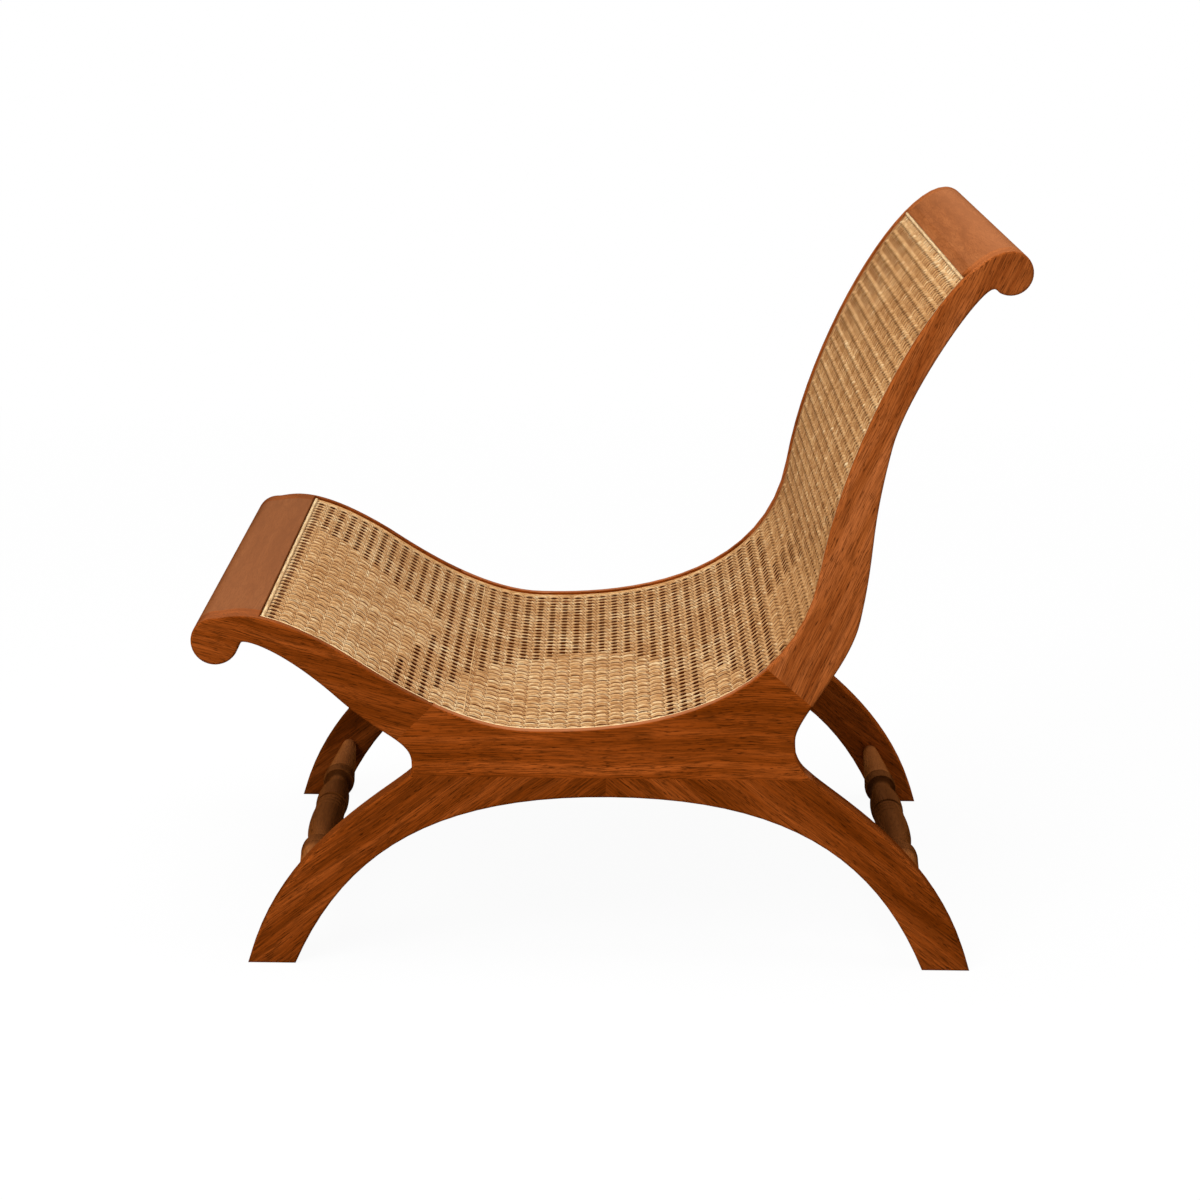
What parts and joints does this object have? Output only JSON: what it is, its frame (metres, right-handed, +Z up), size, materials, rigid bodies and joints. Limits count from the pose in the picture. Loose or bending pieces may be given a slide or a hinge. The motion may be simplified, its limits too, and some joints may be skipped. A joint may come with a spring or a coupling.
{
  "type": "cane lounge chair",
  "caption": "Low reclined lounge chair with scroll-ended wooden side panels on arched legs, a woven cane seat and back in one sweep, and turned stretchers.",
  "frame": {"origin": "on the floor, under the centre of the chair's box", "axes": "+X towards the back of the chair, so its front faces -X; +Y across the chair to its right side; +Z up"},
  "size_m": [0.802, 0.63, 0.714],
  "materials": {
    "side_wood": "red-brown hardwood, satin oil finish, straight grain along each board",
    "roll_wood": "lighter red-brown hardwood, satin oil finish, grain across the chair",
    "turned_wood": "dark turned hardwood, satin oil finish",
    "cane": "natural woven cane strands, dry satin",
    "spline": "pale reed spline, dry satin",
    "dowel_wood": "plain pale hardwood dowel"
  },
  "bodies": {
    "root": {"front_rail_left": "side_wood", "front_rail_right": "side_wood", "seat_block_left": "side_wood", "seat_block_right": "side_wood", "back_post_left": "side_wood", "back_post_right": "side_wood", "front_leg_left": "side_wood", "front_leg_right": "side_wood", "rear_leg_left": "side_wood", "rear_leg_right": "side_wood", "front_roll": "roll_wood", "crest_roll": "roll_wood", "front_stretcher": "turned_wood", "rear_stretcher": "turned_wood", "cane_seat": "cane", "cane_spline_left": "spline", "cane_spline_right": "spline", "cane_spline_front": "spline", "cane_spline_top": "spline", "mitre_dowels": "dowel_wood", "leg_dowels": "dowel_wood", "arch_dowels": "dowel_wood", "roll_dowels": "dowel_wood"}
  },
  "joints": []
}
